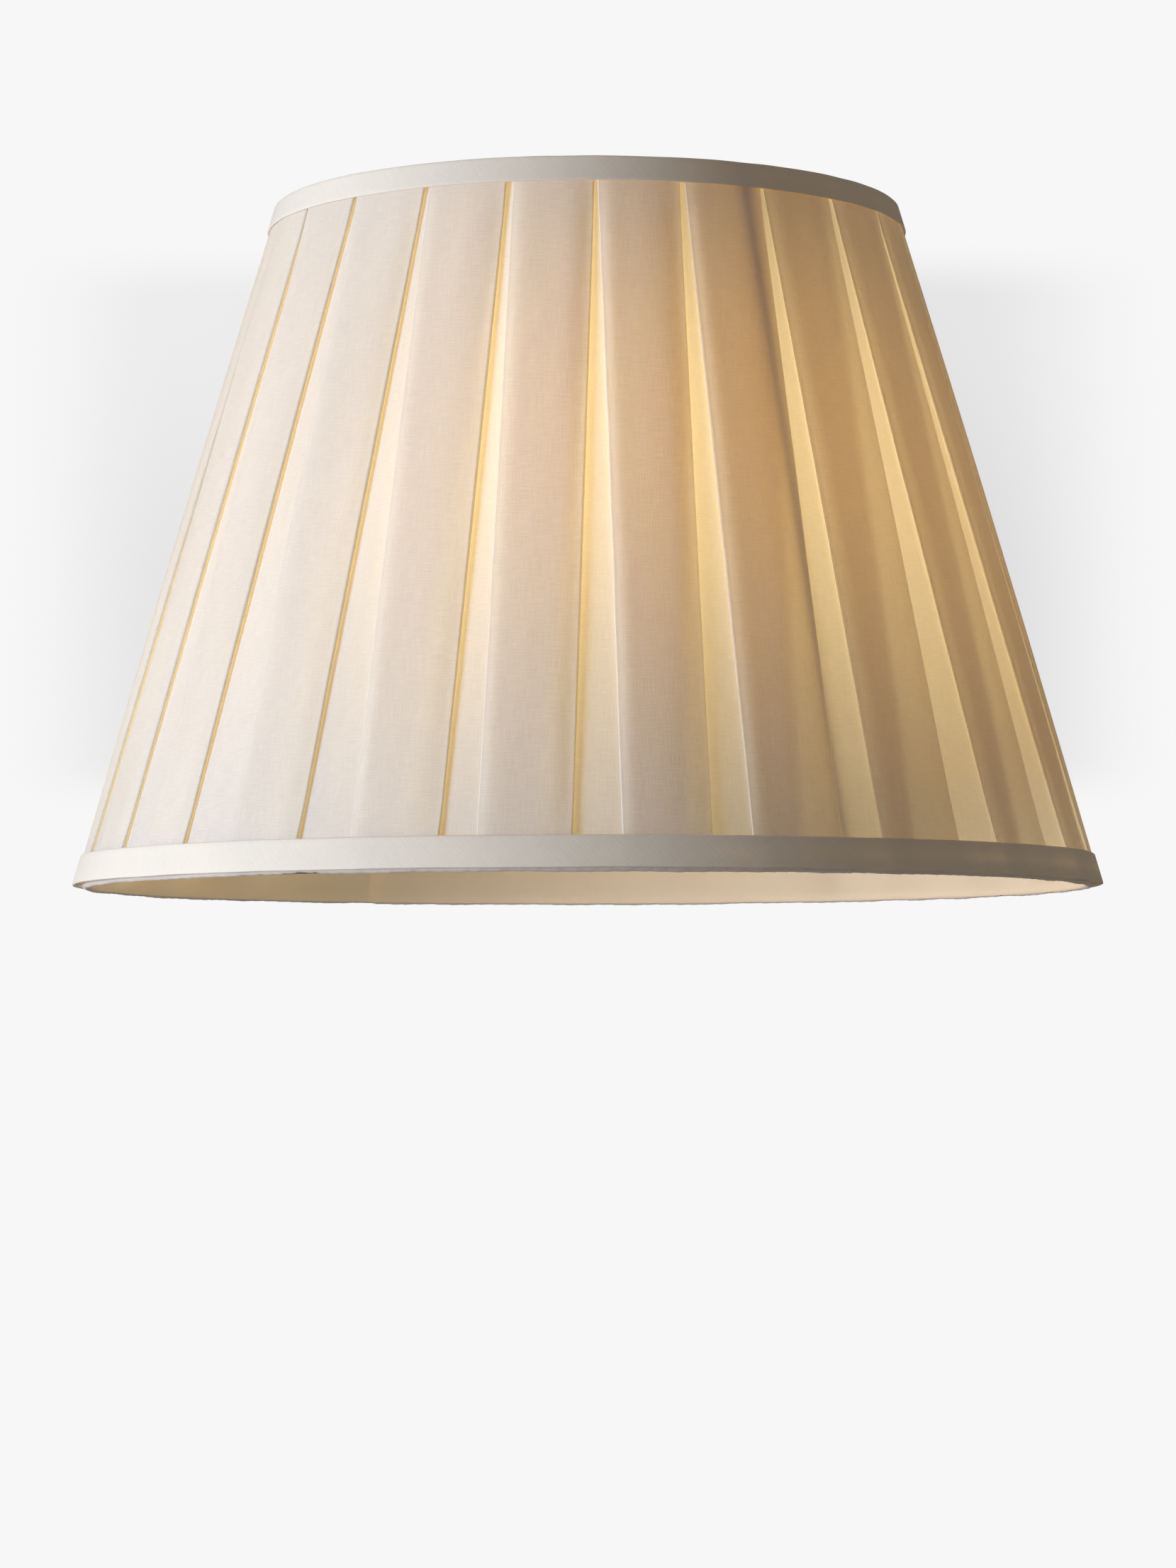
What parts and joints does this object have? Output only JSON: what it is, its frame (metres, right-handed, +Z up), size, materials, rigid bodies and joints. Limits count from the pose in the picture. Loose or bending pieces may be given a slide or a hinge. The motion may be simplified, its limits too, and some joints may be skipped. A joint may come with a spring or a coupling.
{
  "type": "lamp shade",
  "caption": "Tapered lamp shade with a box-pleated fabric cover, trimmed rims, lined wire frame and a reversible gimbal fitter.",
  "frame": {"origin": "middle of the lower rim, on the surface that the shade stands on", "axes": "+Z up along the shade's axis, -Y to the front, the gimbal's hinge line along Y"},
  "size_m": [0.3991, 0.3992, 0.266],
  "materials": {
    "cover_silk": "ivory silk-and-linen cloth, soft satin",
    "trim_silk": "ivory self-fabric band, soft satin",
    "liner_cloth": "smooth pale cream lining",
    "cotton_tape": "white woven cotton tape",
    "frame_wire": "white epoxy-coated steel",
    "gimbal_steel": "white epoxy-coated steel strip",
    "rivet_steel": "zinc-plated steel",
    "reducer_plastic": "white moulded plastic"
  },
  "bodies": {
    "shade": {"gimbal_lug_front": "frame_wire", "gimbal_lug_rear": "frame_wire", "liner_panel_left": "liner_cloth", "liner_panel_right": "liner_cloth", "lower_ring": "frame_wire", "lower_ring_tape_left": "cotton_tape", "lower_ring_tape_right": "cotton_tape", "lower_trim": "trim_silk", "pivot_rivet_front": "rivet_steel", "pivot_rivet_rear": "rivet_steel", "pleated_cover": "cover_silk", "seam_strut_tape_front": "cotton_tape", "seam_strut_tape_rear": "cotton_tape", "strut_1": "frame_wire", "strut_2": "frame_wire", "strut_3": "frame_wire", "strut_4": "frame_wire", "strut_5": "frame_wire", "strut_6": "frame_wire", "upper_ring": "frame_wire", "upper_ring_tape_left": "cotton_tape", "upper_ring_tape_right": "cotton_tape", "upper_trim": "trim_silk"},
    "gimbal": {"gimbal_arm_front": "gimbal_steel", "gimbal_arm_rear": "gimbal_steel", "fitter_ring": "gimbal_steel", "reducer_ring": "reducer_plastic"}
  },
  "joints": [
    {"name": "gimbal_tilt", "type": "hinge", "parent": "shade", "child": "gimbal", "pos_m": [0, 0, 0.236], "axis": [0, 1, 0], "continuous": true}
  ]
}
